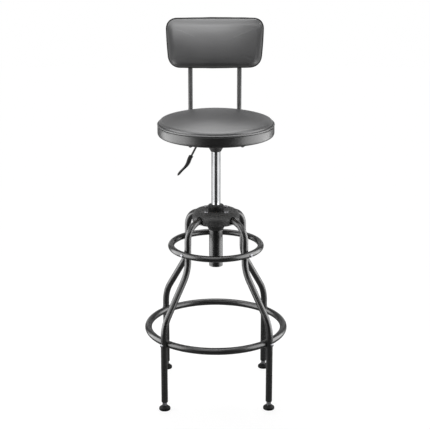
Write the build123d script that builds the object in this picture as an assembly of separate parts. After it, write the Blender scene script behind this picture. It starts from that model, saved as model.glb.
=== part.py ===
from build123d import *
import os
from math import asin, atan2, cos, radians, sin, sqrt

os.makedirs("parts", exist_ok=True)

# Shop stool with a round swivel seat on a gas lift, a padded backrest, two foot rings and four
# levelling feet. Millimetres, +Z up, origin on the floor under the column, sitter facing -Y.

# Clearances
RUNNING_FIT = 0.1        # radial, round parts that slide or turn in each other
SEAT_FIT = 0.1           # round parts that are pushed into each other and stay
SADDLE_FIT = 0.2         # ring or hub saddle round a leg tube
HOLE_FIT = 0.3           # radial, screw shank in its hole
FACE_FIT = 0.3           # between moving faces that almost meet

# Levelling feet
FOOT_R = 17.5
FOOT_EDGE_H = 7.0
FOOT_H = 14.0
FOOT_TOP_R = 9.0
NECK_FLATS = 13.0
NECK_H = 11.0
STUD_R = 4.0
STUD_HOLD = 22.0         # stud left in the insert with the foot screwed right out
STUD_ROOT = 9.0          # stud length moulded into the foot
LEVEL_TRAVEL = 10.0
INSERT_FLANGE = 1.6
INSERT_DEPTH = 30.0

# Leg tubes, as radius from the column axis and height, on the four diagonals
LEG_R = 10.0
LEG_WALL = 1.8
LEG_INNER_END = 26.0
LEG_HIGH_RADIUS = 122.9
LEG_LOW_RADIUS = 227.5
LEG_TOP_Z = 574.0
HIGH_KNEE_Z = 425.0
LOW_KNEE_Z = 273.0
SHOULDER_BEND = 53.0
KNEE_BEND = 110.0
CORNERS = {"front_left": 225, "front_right": 315, "back_right": 45, "back_left": 135}

# Foot rings
LOW_RING_TUBE = 10.7
LOW_RING_Z = 214.0
LOW_SADDLE_DEPTH = 6.5
HIGH_RING_TUBE = 9.5
HIGH_RING_Z = 481.5
HIGH_SADDLE_DEPTH = 3.2

# Screws of the frame
SCREW_R = 3.0
RING_HEAD_R = 5.5
RING_HEAD_H = 3.6
RING_SCREW_BITE = 12.0
RIVET_NUT_R = 4.6
RIVET_FLANGE_R = 6.0
RIVET_FLANGE = 0.8
HUB_HEAD_R = 7.0
HUB_HEAD_H = 4.2
HUB_SCREW_RADIUS = 44.0
NUT_FLATS = 10.0
NUT_H = 5.0
SCREW_TIP = 2.0          # hub screw beyond its nut

# Hub over the leg ends
HUB_R = 73.0
HUB_WALL = 2.8
HUB_EDGE = 18.5
HUB_HEADROOM = 12.0      # hub top above the leg tubes
HUB_SKIRT_DROP = 2.0     # skirt edge below the leg tubes
HUB_BOSS_R = 9.5
ARCH_GAP = 3.0
ARCH_FLARE = 4.0
PLATE_T = 3.0
PLATE_MARGIN = 0.6
NECK_TOP_R = 28.0
NECK_TOP_DROP = 15.0
NECK_TAPER_H = 12.0
NECK_WALL = 1.6
NECK_END = 3.0
NECK_SWEEP = 8.0

# Column
COLUMN_R = 21.0
COLUMN_WALL = 2.25
COLUMN_BELOW_HUB = 180.0
COLLAR_R = 24.0
COLLAR_H = 17.0
COLLAR_CAP = 8.0
COLLAR_ROUND = 3.0
SLEEVE_LENGTH = 49.0
END_PLATE_T = 4.0
END_RECESS = 5.0

# Thrust bearing, spindle and gas cylinder
SPIGOT_R = 4.0
ROD_R = 5.0
WASHER_T = 2.5
WASHER_R = 13.0
BALL_R = 2.0
BALL_GAP = 0.25
BALL_COUNT = 8
BALL_RADIUS = 9.2
CAGE_T = 1.8
CLIP_T = 1.2
CLIP_R = 7.5
CLIP_GROOVE = 0.9
BUMP_H = 9.0
BUMP_R = 12.0
TRAVEL = 120.0
TRAVEL_SPARE = 2.0
CYLINDER_R = 14.0
CYLINDER_WALL = 2.0
CYLINDER_HEAD = 45.0
ROD_GUIDE_H = 12.0
PISTON_H = 12.0
PISTON_GROOVE = 1.6
TAPER = 0.04
TAPER_LENGTH = 26.0
PIN_R = 3.0
PIN_TIP = 1.5
PIN_WELL = 4.0           # pin bore below the taper
PIN_START = 2.0          # pin's lower end above the taper's start

# Seat
SEAT_R = 177.0
SEAT_BASE_Z = 833.0
COVER_T = 1.5
WRAP_T = 1.2
WRAP_RADIUS = 140.0
BAND_TOP = 31.5
BAND_ROUND = 8.0
BOARD_T = 12.0
BOARD_INSET = 5.0
BOARD_ROUND = 5.0
PIPING_R = 3.0
PIPING_PROUD = 1.0       # piping beyond the seat's side
SEAT_CROWN = 70.0
CAP_RADIUS = 667.0
RIM_WIDTH = 17.0         # from the crowned cap's edge to the seat's side

# Seat plate, socket and lever
SEAT_PLATE = 124.0
SEAT_PLATE_T = 3.0
SEAT_PLATE_ROUND = 16.0
SEAT_PLATE_HOLE = 46.0
SOCKET_DEPTH = 49.0
SOCKET_TIP_R = 15.8
SOCKET_SPREAD = 0.53
SOCKET_WALL = 3.0
SOCKET_FLANGE_R = 56.0
SOCKET_FLANGE_T = 2.5
CHAMBER_H = 22.0
PIVOT_X = -22.0
PIVOT_DROP = 10.2
PIVOT_PIN_R = 2.0
KNUCKLE_R = 4.5
LEVER_WIDTH = 9.0
TONGUE_T = 4.0
TONGUE_REACH = 7.0
EAR_T = 2.5
EAR_BASE_T = 2.0
LEVER_ROD_R = 3.0
LEVER_CORNER_X = -47.5
LEVER_BEND = 12.0
LEVER_SLOPE = 63.0       # degrees below level
LEVER_TO_GRIP = 60.0     # from the corner to the grip's shoulder
GRIP_SOCKET = 22.0
GRIP_R = 6.5
GRIP_KNEE = 34.0
GRIP_TAIL = 40.0
GRIP_TAIL_SLOPE = 48.0
PADDLE_HALF_WIDTH = 10.0
PADDLE_HALF_T = 3.0

# Backrest posts
POST_R = 7.0
POST_WALL = 1.6
POST_X = 77.0
POST_FRONT_Y = -105.0
POST_BACK_Y = 195.0
POST_TOP_Z = 1120.0
POST_BEND = 40.0
POST_SCREW_Y = (-80.0, 100.0)
POST_HEAD_R = 5.5
POST_HEAD_H = 3.2
PLUG_CAP = 2.5
PLUG_DEPTH = 10.0

# Backrest
BACK_TOP_Z = 1159.5
BACK_BOTTOM_Z = 1008.0
BACK_TOP_HALF = 151.0
BACK_BOTTOM_HALF = 142.0
BACK_TOP_CORNER = 32.0
BACK_BOTTOM_CORNER = 38.0
BACK_LEAST_CORNER = 6.0  # for the pieces drawn in from the outline
BACK_BULGE = 2.5
BACK_DEPTH = 44.0
BACK_CROWN_RADIUS = 700.0
BACK_FRONT_ROUND = 16.0
BACK_REAR_ROUND = 6.0
BACK_BOARD_T = 10.0
BACK_BOARD_INSET = 12.0
BACK_PANEL_T = 1.0
BACK_PANEL_INSET = 8.0
BACK_SCREW_Z = (1046.0, 1104.0)
TEE_R = 4.2
TEE_FLANGE_R = 9.0
TEE_FLANGE = 1.4


# Shared shapes
def turned(profile, rounds=()):
    """Body of revolution about +Z; rounds pairs the index of a profile point with its radius."""
    face = make_face(Polyline(*profile, close=True))
    for index, radius in rounds:
        corner = face.vertices().sort_by_distance(Vector(*profile[index]))[0]
        face = fillet(corner, radius)
    return revolve(Plane.XZ * face, Axis.Z)


def ring_of(inner, outer, low, high):
    return turned([(inner, low), (outer, low), (outer, high), (inner, high)])


def rod_of(radius, low, high):
    return turned([(0, low), (radius, low), (radius, high), (0, high)])


def tube_along(path, outer, inner):
    start = Plane(origin=path @ 0, z_dir=path % 0)
    return sweep(start * (Circle(outer) - Circle(inner)), path)


def radial(shape, radius, height):
    """A shape drawn along +Z, laid to point outward along +X at this radius and height."""
    return Pos(radius, 0, height) * Rot(0, 90, 0) * shape


def at_angle(shape, angle):
    return Rot(0, 0, angle) * shape


def round_the_corners(shape):
    return Compound([at_angle(shape, angle).solid() for angle in CORNERS.values()])


def button_screw(head_r, head_h, length):
    """Round-headed screw with a six-sided socket: head above z = 0, shank below."""
    body = turned(
        [(0, -length), (SCREW_R, -length), (SCREW_R, 0), (head_r, 0), (head_r, head_h), (0, head_h)],
        [(4, 0.75 * head_h)],
    )
    socket = extrude(RegularPolygon(0.45 * head_r, 6), 0.55 * head_h)
    return body - Pos(0, 0, head_h - 0.5 * head_h) * socket


def hex_prism(flats, low, high):
    return Pos(0, 0, low) * extrude(RegularPolygon(flats / 2, 6, major_radius=False), high - low)


def tee_nut(depth):
    """Barrel below z = 0, flange above it."""
    return turned([
        (SCREW_R + HOLE_FIT, -depth),
        (TEE_R, -depth),
        (TEE_R, 0),
        (TEE_FLANGE_R, 0),
        (TEE_FLANGE_R, TEE_FLANGE),
        (SCREW_R + HOLE_FIT, TEE_FLANGE),
    ])


def tee_hole(depth):
    """The hole that a tee nut is pressed into."""
    barrel = rod_of(TEE_R + SEAT_FIT, -2 * depth, TEE_FLANGE)
    return barrel + rod_of(TEE_FLANGE_R + SEAT_FIT, 0, 2 * TEE_FLANGE)


# Levels that follow from the sizes above
NECK_TOP_Z = FOOT_H + NECK_H
LEG_END_Z = NECK_TOP_Z + FACE_FIT + INSERT_FLANGE
LOW_RING_R = LEG_LOW_RADIUS - LEG_R - LOW_RING_TUBE + LOW_SADDLE_DEPTH
HIGH_RING_R = LEG_HIGH_RADIUS + LEG_R + HIGH_RING_TUBE - HIGH_SADDLE_DEPTH
HOLE_R = SCREW_R + HOLE_FIT

HUB_TOP_Z = LEG_TOP_Z + LEG_R + HUB_HEADROOM
HUB_SKIRT_Z = LEG_TOP_Z - LEG_R - HUB_SKIRT_DROP
PLATE_TOP_Z = LEG_TOP_Z - LEG_R
PLATE_UNDER_Z = PLATE_TOP_Z - PLATE_T

COLUMN_BOTTOM_Z = HUB_TOP_Z - COLUMN_BELOW_HUB
COLUMN_INNER_R = COLUMN_R - COLUMN_WALL
COLLAR_TOP_Z = HUB_TOP_Z + COLLAR_H
COLUMN_TOP_Z = COLLAR_TOP_Z - COLLAR_CAP
END_PLATE_Z = COLUMN_BOTTOM_Z + END_RECESS
LOW_WASHER_Z = END_PLATE_Z + END_PLATE_T
BALL_Z = LOW_WASHER_Z + WASHER_T + BALL_GAP + BALL_R
HIGH_WASHER_Z = BALL_Z + BALL_R + BALL_GAP
ROD_SHOULDER_Z = HIGH_WASHER_Z + WASHER_T
BUMP_TOP_Z = ROD_SHOULDER_Z + BUMP_H
CYLINDER_BOTTOM_Z = BUMP_TOP_Z + TRAVEL_SPARE + TRAVEL
PISTON_Z = CYLINDER_BOTTOM_Z + ROD_GUIDE_H + 1.0
CYLINDER_INNER_R = CYLINDER_R - CYLINDER_WALL

BOARD_Z = SEAT_BASE_Z + WRAP_T
BOARD_TOP_Z = BOARD_Z + BOARD_T
PLATE_Z = BOARD_Z - SEAT_PLATE_T
SOCKET_TIP_Z = PLATE_Z - SOCKET_DEPTH
CHAMBER_Z = PLATE_Z - CHAMBER_H
TAPER_Z = CHAMBER_Z - TAPER_LENGTH
CYLINDER_TOP_Z = CHAMBER_Z
TAPER_TOP_R = CYLINDER_R - TAPER * TAPER_LENGTH
PIVOT_Z = PLATE_Z - PIVOT_DROP
PIN_TOP_Z = PIVOT_Z - TONGUE_T / 2 - 0.5

POST_Z = SEAT_BASE_Z - POST_R - FACE_FIT / 3
BACK_FACE_Y = POST_BACK_Y - POST_R
PANEL_Y = BACK_FACE_Y - BACK_PANEL_T
BACK_FRONT_Y = PANEL_Y - BACK_DEPTH


# Levelling feet
def foot_pad():
    body = turned(
        [(0, 0), (FOOT_R, 0), (FOOT_R, FOOT_EDGE_H), (FOOT_TOP_R, FOOT_H), (0, FOOT_H)],
        [(1, 2.0), (2, 3.0), (3, 1.0)],
    )
    return body - rod_of(STUD_R + SEAT_FIT / 2, FOOT_H - STUD_ROOT, FOOT_H + 1)


def foot_stud():
    shank = rod_of(STUD_R, FOOT_H - STUD_ROOT, NECK_TOP_Z + LEVEL_TRAVEL + STUD_HOLD)
    return shank + hex_prism(NECK_FLATS, FOOT_H, NECK_TOP_Z)


def leg_insert():
    body_r = LEG_R - LEG_WALL - SEAT_FIT
    bore = STUD_R + RUNNING_FIT
    low = LEG_END_Z - INSERT_FLANGE
    return turned([
        (bore, low),
        (LEG_R - 1.0, low),
        (LEG_R, low + 1.0),
        (LEG_R, LEG_END_Z),
        (body_r, LEG_END_Z),
        (body_r, LEG_END_Z + INSERT_DEPTH),
        (bore, LEG_END_Z + INSERT_DEPTH),
    ])


# Legs, drawn in the plane of +X and turned to their diagonal
def leg_tube():
    path = FilletPolyline(
        (LEG_INNER_END, 0, LEG_TOP_Z),
        (LEG_HIGH_RADIUS, 0, LEG_TOP_Z),
        (LEG_HIGH_RADIUS, 0, HIGH_KNEE_Z),
        (LEG_LOW_RADIUS, 0, LOW_KNEE_Z),
        (LEG_LOW_RADIUS, 0, LEG_END_Z),
        radius=(SHOULDER_BEND, KNEE_BEND, KNEE_BEND),
    )
    tube = tube_along(path, LEG_R, LEG_R - LEG_WALL)
    tube -= Pos(HUB_SCREW_RADIUS, 0, LEG_TOP_Z) * Cylinder(HOLE_R, 4 * LEG_R)
    tube -= radial(rod_of(RIVET_NUT_R + SEAT_FIT, 0, 2 * LEG_R), LEG_HIGH_RADIUS, HIGH_RING_Z)
    tube -= radial(Cylinder(HOLE_R, 4 * LEG_R), LEG_LOW_RADIUS, LOW_RING_Z)
    return tube


# Foot rings, saddled round the legs
def foot_ring(radius, tube, height, leg_radius):
    """Four quarters, each saddled and drilled in its middle, joined end to end."""
    end = Rot(0, 0, -45) * (Plane.XZ * (Pos(radius, height) * Circle(tube)))
    quarter = revolve(end, Axis.Z, 90)
    quarter -= Pos(leg_radius, 0, height) * Cylinder(LEG_R + SADDLE_FIT, 4 * tube)
    quarter -= radial(Cylinder(HOLE_R, 4 * tube), radius, height)
    first, *others = [at_angle(quarter, angle).solid() for angle in CORNERS.values()]
    return first.fuse(*others)


def high_ring_screw():
    head_at = HIGH_RING_R + HIGH_RING_TUBE
    length = head_at - (LEG_HIGH_RADIUS + LEG_R) + RING_SCREW_BITE
    return radial(button_screw(RING_HEAD_R, RING_HEAD_H, length), head_at, HIGH_RING_Z)


def rivet_nut():
    """Threaded sleeve in the leg's outer wall, with its bulb drawn up inside the tube."""
    outer_end = sqrt(LEG_R**2 - RIVET_NUT_R**2)
    bulb = sqrt((LEG_R - LEG_WALL) ** 2 - RIVET_FLANGE_R**2) - SEAT_FIT
    body = ring_of(HOLE_R, RIVET_NUT_R, LEG_R - RING_SCREW_BITE - 1.0, outer_end)
    collar = ring_of(HOLE_R, RIVET_FLANGE_R, bulb - RIVET_FLANGE, bulb)
    return radial(body + collar, LEG_HIGH_RADIUS, HIGH_RING_Z)


def low_ring_screw():
    head_at = LEG_LOW_RADIUS + LEG_R
    length = 2 * LEG_R + RING_SCREW_BITE
    return radial(button_screw(RING_HEAD_R, RING_HEAD_H, length), head_at, LOW_RING_Z)


# Hub: a round casting over the leg ends, with a boss that sits on each leg
def hub_casting():
    bore = COLUMN_R + SEAT_FIT
    inner = HUB_R - HUB_WALL
    under = HUB_TOP_Z - HUB_WALL
    shell = turned(
        [
            (bore, HUB_TOP_Z),
            (HUB_R, HUB_TOP_Z),
            (HUB_R, HUB_SKIRT_Z),
            (inner, HUB_SKIRT_Z),
            (inner, under),
            (bore, under),
        ],
        [(1, HUB_EDGE), (4, HUB_EDGE - HUB_WALL)],
    )
    boss = Pos(HUB_SCREW_RADIUS, 0, 0) * rod_of(HUB_BOSS_R, LEG_TOP_Z, HUB_TOP_Z - HUB_WALL / 2)
    lying_leg = Pos(HUB_R / 2, 0, LEG_TOP_Z) * Rot(0, 90, 0) * Cylinder(LEG_R + SADDLE_FIT, HUB_R)
    hole = Pos(HUB_SCREW_RADIUS, 0, LEG_TOP_Z) * Cylinder(HOLE_R, 8 * LEG_R)
    arch_r = LEG_R + ARCH_GAP
    low = HUB_SKIRT_Z - 1.0
    arch = make_face([
        Line((-arch_r - ARCH_FLARE, low), (-arch_r, low + 2 * ARCH_FLARE)),
        Line((-arch_r, low + 2 * ARCH_FLARE), (-arch_r, LEG_TOP_Z)),
        ThreePointArc((-arch_r, LEG_TOP_Z), (0, LEG_TOP_Z + arch_r), (arch_r, LEG_TOP_Z)),
        Line((arch_r, LEG_TOP_Z), (arch_r, low + 2 * ARCH_FLARE)),
        Line((arch_r, low + 2 * ARCH_FLARE), (arch_r + ARCH_FLARE, low)),
        Line((arch_r + ARCH_FLARE, low), (-arch_r - ARCH_FLARE, low)),
    ])
    arch = extrude(Plane.YZ.offset(HUB_SCREW_RADIUS + HUB_BOSS_R + 1.0) * arch, HUB_R)
    bosses = [at_angle(boss - lying_leg, angle) for angle in CORNERS.values()]
    shell += bosses
    for angle in CORNERS.values():
        shell -= at_angle(arch, angle)
        shell -= at_angle(hole, angle)
    return shell


def hub_plate():
    """Plate under the leg ends, drawn down into a flared neck round the column."""
    bore = COLUMN_R + SEAT_FIT
    neck_r = bore + NECK_WALL
    flare_z = PLATE_UNDER_Z - NECK_TOP_DROP
    neck_z = flare_z - NECK_TAPER_H
    plate = turned(
        [
            (bore, PLATE_TOP_Z),
            (HUB_R - HUB_WALL - PLATE_MARGIN, PLATE_TOP_Z),
            (HUB_R - HUB_WALL - PLATE_MARGIN, PLATE_UNDER_Z),
            (NECK_TOP_R + NECK_SWEEP, PLATE_UNDER_Z),
            (NECK_TOP_R, flare_z),
            (neck_r, neck_z),
            (neck_r, neck_z - NECK_END),
            (bore, neck_z - NECK_END),
        ],
        [(3, NECK_SWEEP / 2), (4, NECK_SWEEP)],
    )
    hole = Pos(HUB_SCREW_RADIUS, 0, PLATE_TOP_Z) * Cylinder(HOLE_R, 4 * PLATE_T)
    for angle in CORNERS.values():
        plate -= at_angle(hole, angle)
    return plate


def hub_screw():
    length = HUB_TOP_Z - PLATE_UNDER_Z + NUT_H + SCREW_TIP
    return Pos(HUB_SCREW_RADIUS, 0, HUB_TOP_Z) * button_screw(HUB_HEAD_R, HUB_HEAD_H, length)


def hub_nut():
    nut = hex_prism(NUT_FLATS, PLATE_UNDER_Z - NUT_H, PLATE_UNDER_Z)
    nut -= rod_of(SCREW_R + SEAT_FIT, PLATE_UNDER_Z - 2 * NUT_H, PLATE_UNDER_Z + 1)
    return Pos(HUB_SCREW_RADIUS, 0, 0) * nut


# Column with its guide bushing and end plate
def guide_bushing():
    bore = CYLINDER_R + RUNNING_FIT
    sleeve = COLUMN_INNER_R - SEAT_FIT
    over = COLUMN_R + SEAT_FIT
    cap = COLUMN_TOP_Z + SEAT_FIT
    return turned(
        [
            (bore, COLUMN_TOP_Z - SLEEVE_LENGTH),
            (sleeve, COLUMN_TOP_Z - SLEEVE_LENGTH),
            (sleeve, cap),
            (over, cap),
            (over, HUB_TOP_Z),
            (COLLAR_R, HUB_TOP_Z),
            (COLLAR_R, COLLAR_TOP_Z),
            (bore, COLLAR_TOP_Z),
        ],
        [(6, COLLAR_ROUND), (7, 1.0)],
    )


def retaining_clip():
    high = END_PLATE_Z - SEAT_FIT
    clip = ring_of(SPIGOT_R - CLIP_GROOVE + SEAT_FIT, CLIP_R, high - CLIP_T, high)
    mouth = Pos(CLIP_R, 0, high) * Box(2 * CLIP_R, 2 * (SPIGOT_R - CLIP_GROOVE), 4 * CLIP_T)
    return clip - mouth


def piston_rod():
    groove_high = END_PLATE_Z - SEAT_FIT / 2
    groove_low = END_PLATE_Z - CLIP_T - 1.5 * SEAT_FIT
    groove_r = SPIGOT_R - CLIP_GROOVE
    return turned([
        (0, COLUMN_BOTTOM_Z + 1.0),
        (SPIGOT_R - 0.6, COLUMN_BOTTOM_Z + 1.0),
        (SPIGOT_R, COLUMN_BOTTOM_Z + 1.6),
        (SPIGOT_R, groove_low),
        (groove_r, groove_low),
        (groove_r, groove_high),
        (SPIGOT_R, groove_high),
        (SPIGOT_R, ROD_SHOULDER_Z),
        (ROD_R, ROD_SHOULDER_Z),
        (ROD_R, PISTON_Z),
        (SPIGOT_R, PISTON_Z),
        (SPIGOT_R, PISTON_Z + PISTON_H),
        (0, PISTON_Z + PISTON_H),
    ])


def gas_piston():
    outer = CYLINDER_INNER_R - 2 * RUNNING_FIT
    middle = PISTON_Z + PISTON_H / 2
    return turned([
        (SPIGOT_R + SEAT_FIT / 2, PISTON_Z),
        (outer, PISTON_Z),
        (outer, middle - PISTON_GROOVE),
        (outer - PISTON_GROOVE, middle - PISTON_GROOVE),
        (outer - PISTON_GROOVE, middle + PISTON_GROOVE),
        (outer, middle + PISTON_GROOVE),
        (outer, PISTON_Z + PISTON_H),
        (SPIGOT_R + SEAT_FIT / 2, PISTON_Z + PISTON_H),
    ])


def ball_cage():
    cage = ring_of(SPIGOT_R + 1.0, WASHER_R - 0.6, BALL_Z - CAGE_T / 2, BALL_Z + CAGE_T / 2)
    pocket = Pos(BALL_RADIUS, 0, BALL_Z) * Cylinder(BALL_R + SEAT_FIT, 2 * CAGE_T)
    for count in range(BALL_COUNT):
        cage -= at_angle(pocket, 360 * count / BALL_COUNT)
    return cage


def cage_balls():
    ball = Pos(BALL_RADIUS, 0, BALL_Z) * Sphere(BALL_R)
    return Compound([at_angle(ball, 360 * count / BALL_COUNT).solid() for count in range(BALL_COUNT)])


def gas_cylinder():
    cavity_top = CYLINDER_TOP_Z - CYLINDER_HEAD
    pin_bore = PIN_R + RUNNING_FIT
    pin_floor = TAPER_Z - PIN_WELL
    return turned([
        (pin_bore, CYLINDER_TOP_Z),
        (TAPER_TOP_R, CYLINDER_TOP_Z),
        (CYLINDER_R, TAPER_Z),
        (CYLINDER_R, CYLINDER_BOTTOM_Z),
        (CYLINDER_INNER_R, CYLINDER_BOTTOM_Z),
        (CYLINDER_INNER_R, cavity_top),
        (0, cavity_top),
        (0, pin_floor),
        (pin_bore, pin_floor),
    ])


def release_pin():
    low = TAPER_Z + PIN_START
    return turned([
        (0, low),
        (PIN_R, low),
        (PIN_R, PIN_TOP_Z - PIN_TIP),
        (PIN_R - PIN_TIP, PIN_TOP_Z),
        (0, PIN_TOP_Z),
    ])


# Socket under the seat: a cone that takes the cylinder's taper, with a chamber above for the lever
def seat_socket():
    flange_z = PLATE_Z - SOCKET_FLANGE_T
    cone_top = SOCKET_TIP_R + SOCKET_SPREAD * (flange_z - SOCKET_TIP_Z)
    chamber_floor = SOCKET_TIP_R + SOCKET_SPREAD * (CHAMBER_Z - SOCKET_TIP_Z) - SOCKET_WALL
    body = turned(
        [
            (CYLINDER_R + SEAT_FIT, SOCKET_TIP_Z),
            (SOCKET_TIP_R, SOCKET_TIP_Z),
            (cone_top, flange_z),
            (SOCKET_FLANGE_R, flange_z),
            (SOCKET_FLANGE_R, PLATE_Z),
            (cone_top - SOCKET_WALL, PLATE_Z),
            (chamber_floor, CHAMBER_Z),
            (TAPER_TOP_R + SEAT_FIT, CHAMBER_Z),
            (CYLINDER_R + SEAT_FIT, TAPER_Z),
        ],
        [(2, 4.0)],
    )
    slot_low = CHAMBER_Z + 2.0
    slot = Box(cone_top, LEVER_WIDTH + 2.0, flange_z - slot_low)
    return body - Pos(-cone_top, 0, (flange_z + slot_low) / 2) * slot


def seat_plate():
    plate = extrude(RectangleRounded(SEAT_PLATE, SEAT_PLATE, SEAT_PLATE_ROUND), SEAT_PLATE_T)
    plate = Pos(0, 0, PLATE_Z) * plate
    plate_holes, post_holes = board_screw_places()
    for x, y, face in plate_holes:
        plate -= Pos(x, y, face) * Cylinder(HOLE_R, 4 * SEAT_PLATE_T)
    return plate


def board_screw_places():
    """Where the seat board is screwed to: each place is x, y and the face under the screw head."""
    across = (-SEAT_PLATE_HOLE, SEAT_PLATE_HOLE)
    plate = [(x, y, PLATE_Z) for x in across for y in across]
    posts = [(x, y, POST_Z - POST_R) for x in (-POST_X, POST_X) for y in POST_SCREW_Y]
    return plate, posts


def seat_screws(places):
    screws = []
    for x, y, face in places:
        screw = button_screw(POST_HEAD_R, POST_HEAD_H, BOARD_TOP_Z - face - 1.0)
        screws.append((Pos(x, y, face) * Rot(180, 0, 0) * screw).solid())
    return Compound(screws)


def seat_tee_nuts(places):
    depth = BOARD_T - TEE_FLANGE - 1.0
    nut = Pos(0, 0, BOARD_TOP_Z - TEE_FLANGE) * tee_nut(depth)
    return Compound([(Pos(x, y, 0) * nut).solid() for x, y, face in places])


def lever_bracket():
    """Two ears under the seat plate that hold the lever's pivot pin."""
    inner = LEVER_WIDTH / 2 + FACE_FIT
    width = 2 * KNUCKLE_R
    base = Pos(PIVOT_X, 0, PLATE_Z - EAR_BASE_T / 2) * Box(width, 2 * (inner + EAR_T), EAR_BASE_T)
    drop = PIVOT_DROP
    ear = Box(width, EAR_T, drop) + Pos(0, 0, -drop / 2) * Rot(90, 0, 0) * Cylinder(width / 2, EAR_T)
    for side in (-1, 1):
        base += Pos(PIVOT_X, side * (inner + EAR_T / 2), PLATE_Z - drop / 2) * ear
    hole = Rot(90, 0, 0) * Cylinder(PIVOT_PIN_R + SEAT_FIT / 2, 8 * EAR_T + LEVER_WIDTH)
    return base - Pos(PIVOT_X, 0, PIVOT_Z) * hole


def pivot_pin():
    half = LEVER_WIDTH / 2 + FACE_FIT + EAR_T
    pin = rod_of(PIVOT_PIN_R, -half - 1.5, half)
    head = rod_of(1.7 * PIVOT_PIN_R, half, half + 1.2)
    return Pos(PIVOT_X, 0, PIVOT_Z) * Rot(90, 0, 0) * (pin + head)


def lever_points():
    corner = Vector(LEVER_CORNER_X, 0, PIVOT_Z)
    slope = Vector(-cos(radians(LEVER_SLOPE)), 0, -sin(radians(LEVER_SLOPE)))
    shoulder = corner + slope * LEVER_TO_GRIP
    tail = Vector(-cos(radians(GRIP_TAIL_SLOPE)), 0, -sin(radians(GRIP_TAIL_SLOPE)))
    knee = shoulder + slope * GRIP_KNEE
    return corner, slope, shoulder, knee, tail


def lever_rod():
    corner, slope, shoulder, knee, tail = lever_points()
    start = Vector(PIVOT_X - KNUCKLE_R / 2, 0, PIVOT_Z)
    path = FilletPolyline(start, corner, shoulder + slope * GRIP_SOCKET, radius=LEVER_BEND)
    rod = sweep(Plane(origin=path @ 0, z_dir=path % 0) * Circle(LEVER_ROD_R), path)
    knuckle = Pos(PIVOT_X, 0, PIVOT_Z) * Rot(90, 0, 0) * Cylinder(KNUCKLE_R, LEVER_WIDTH)
    reach = TONGUE_REACH - PIVOT_X
    tongue = Pos(PIVOT_X + reach / 2, 0, PIVOT_Z) * Box(reach, LEVER_WIDTH, TONGUE_T)
    tongue = fillet(tongue.edges().filter_by(Axis.Z).group_by(Axis.X)[-1], LEVER_WIDTH / 2 - 0.5)
    hole = Pos(PIVOT_X, 0, PIVOT_Z) * Rot(90, 0, 0) * Cylinder(PIVOT_PIN_R + RUNNING_FIT, 2 * LEVER_WIDTH)
    return rod + knuckle + tongue - hole


def lever_grip():
    corner, slope, shoulder, knee, tail = lever_points()

    def section(centre, along, half_width, half_t):
        return Plane(origin=centre, x_dir=(0, 1, 0), z_dir=along) * Ellipse(half_width, half_t)

    bend = (slope + tail).normalized()
    grip = loft([
        section(shoulder, slope, GRIP_R, GRIP_R),
        section(shoulder + slope * 0.5 * GRIP_KNEE, slope, 1.1 * GRIP_R, GRIP_R),
        section(knee, bend, 1.3 * GRIP_R, 0.75 * GRIP_R),
        section(knee + tail * 0.45 * GRIP_TAIL, tail, PADDLE_HALF_WIDTH, 1.15 * PADDLE_HALF_T),
        section(knee + tail * 0.9 * GRIP_TAIL, tail, PADDLE_HALF_WIDTH, PADDLE_HALF_T),
        section(knee + tail * GRIP_TAIL, tail, 0.75 * PADDLE_HALF_WIDTH, 0.5 * PADDLE_HALF_T),
    ])
    bore = Cylinder(LEVER_ROD_R + SEAT_FIT / 2, 2 * GRIP_SOCKET + 1.0)
    return grip - Plane(origin=shoulder, z_dir=slope) * bore


# Seat board, cushion, band and piping
def seat_board():
    edge = SEAT_R - BOARD_INSET
    board = turned(
        [(0, BOARD_Z), (edge, BOARD_Z), (edge, BOARD_TOP_Z), (0, BOARD_TOP_Z)],
        [(1, BOARD_ROUND)],
    )
    plate, posts = board_screw_places()
    hole = tee_hole(BOARD_T)
    for x, y, face in plate + posts:
        board -= Pos(x, y, BOARD_TOP_Z - TEE_FLANGE) * hole
    return board


def seat_band():
    """Side cover with its rounded lower edge, wrapped under the board."""
    inner = SEAT_R - COVER_T
    top = SEAT_BASE_Z + BAND_TOP
    return turned(
        [
            (WRAP_RADIUS, SEAT_BASE_Z),
            (SEAT_R, SEAT_BASE_Z),
            (SEAT_R, top),
            (inner, top),
            (inner, BOARD_Z),
            (WRAP_RADIUS, BOARD_Z),
        ],
        [(1, BAND_ROUND), (4, BAND_ROUND - COVER_T)],
    )


PIPING_CENTRE_R = SEAT_R + PIPING_PROUD - PIPING_R
PIPING_Z = SEAT_BASE_Z + BAND_TOP + PIPING_R


def seat_piping():
    return Pos(0, 0, PIPING_Z) * Torus(PIPING_CENTRE_R, PIPING_R)


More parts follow.
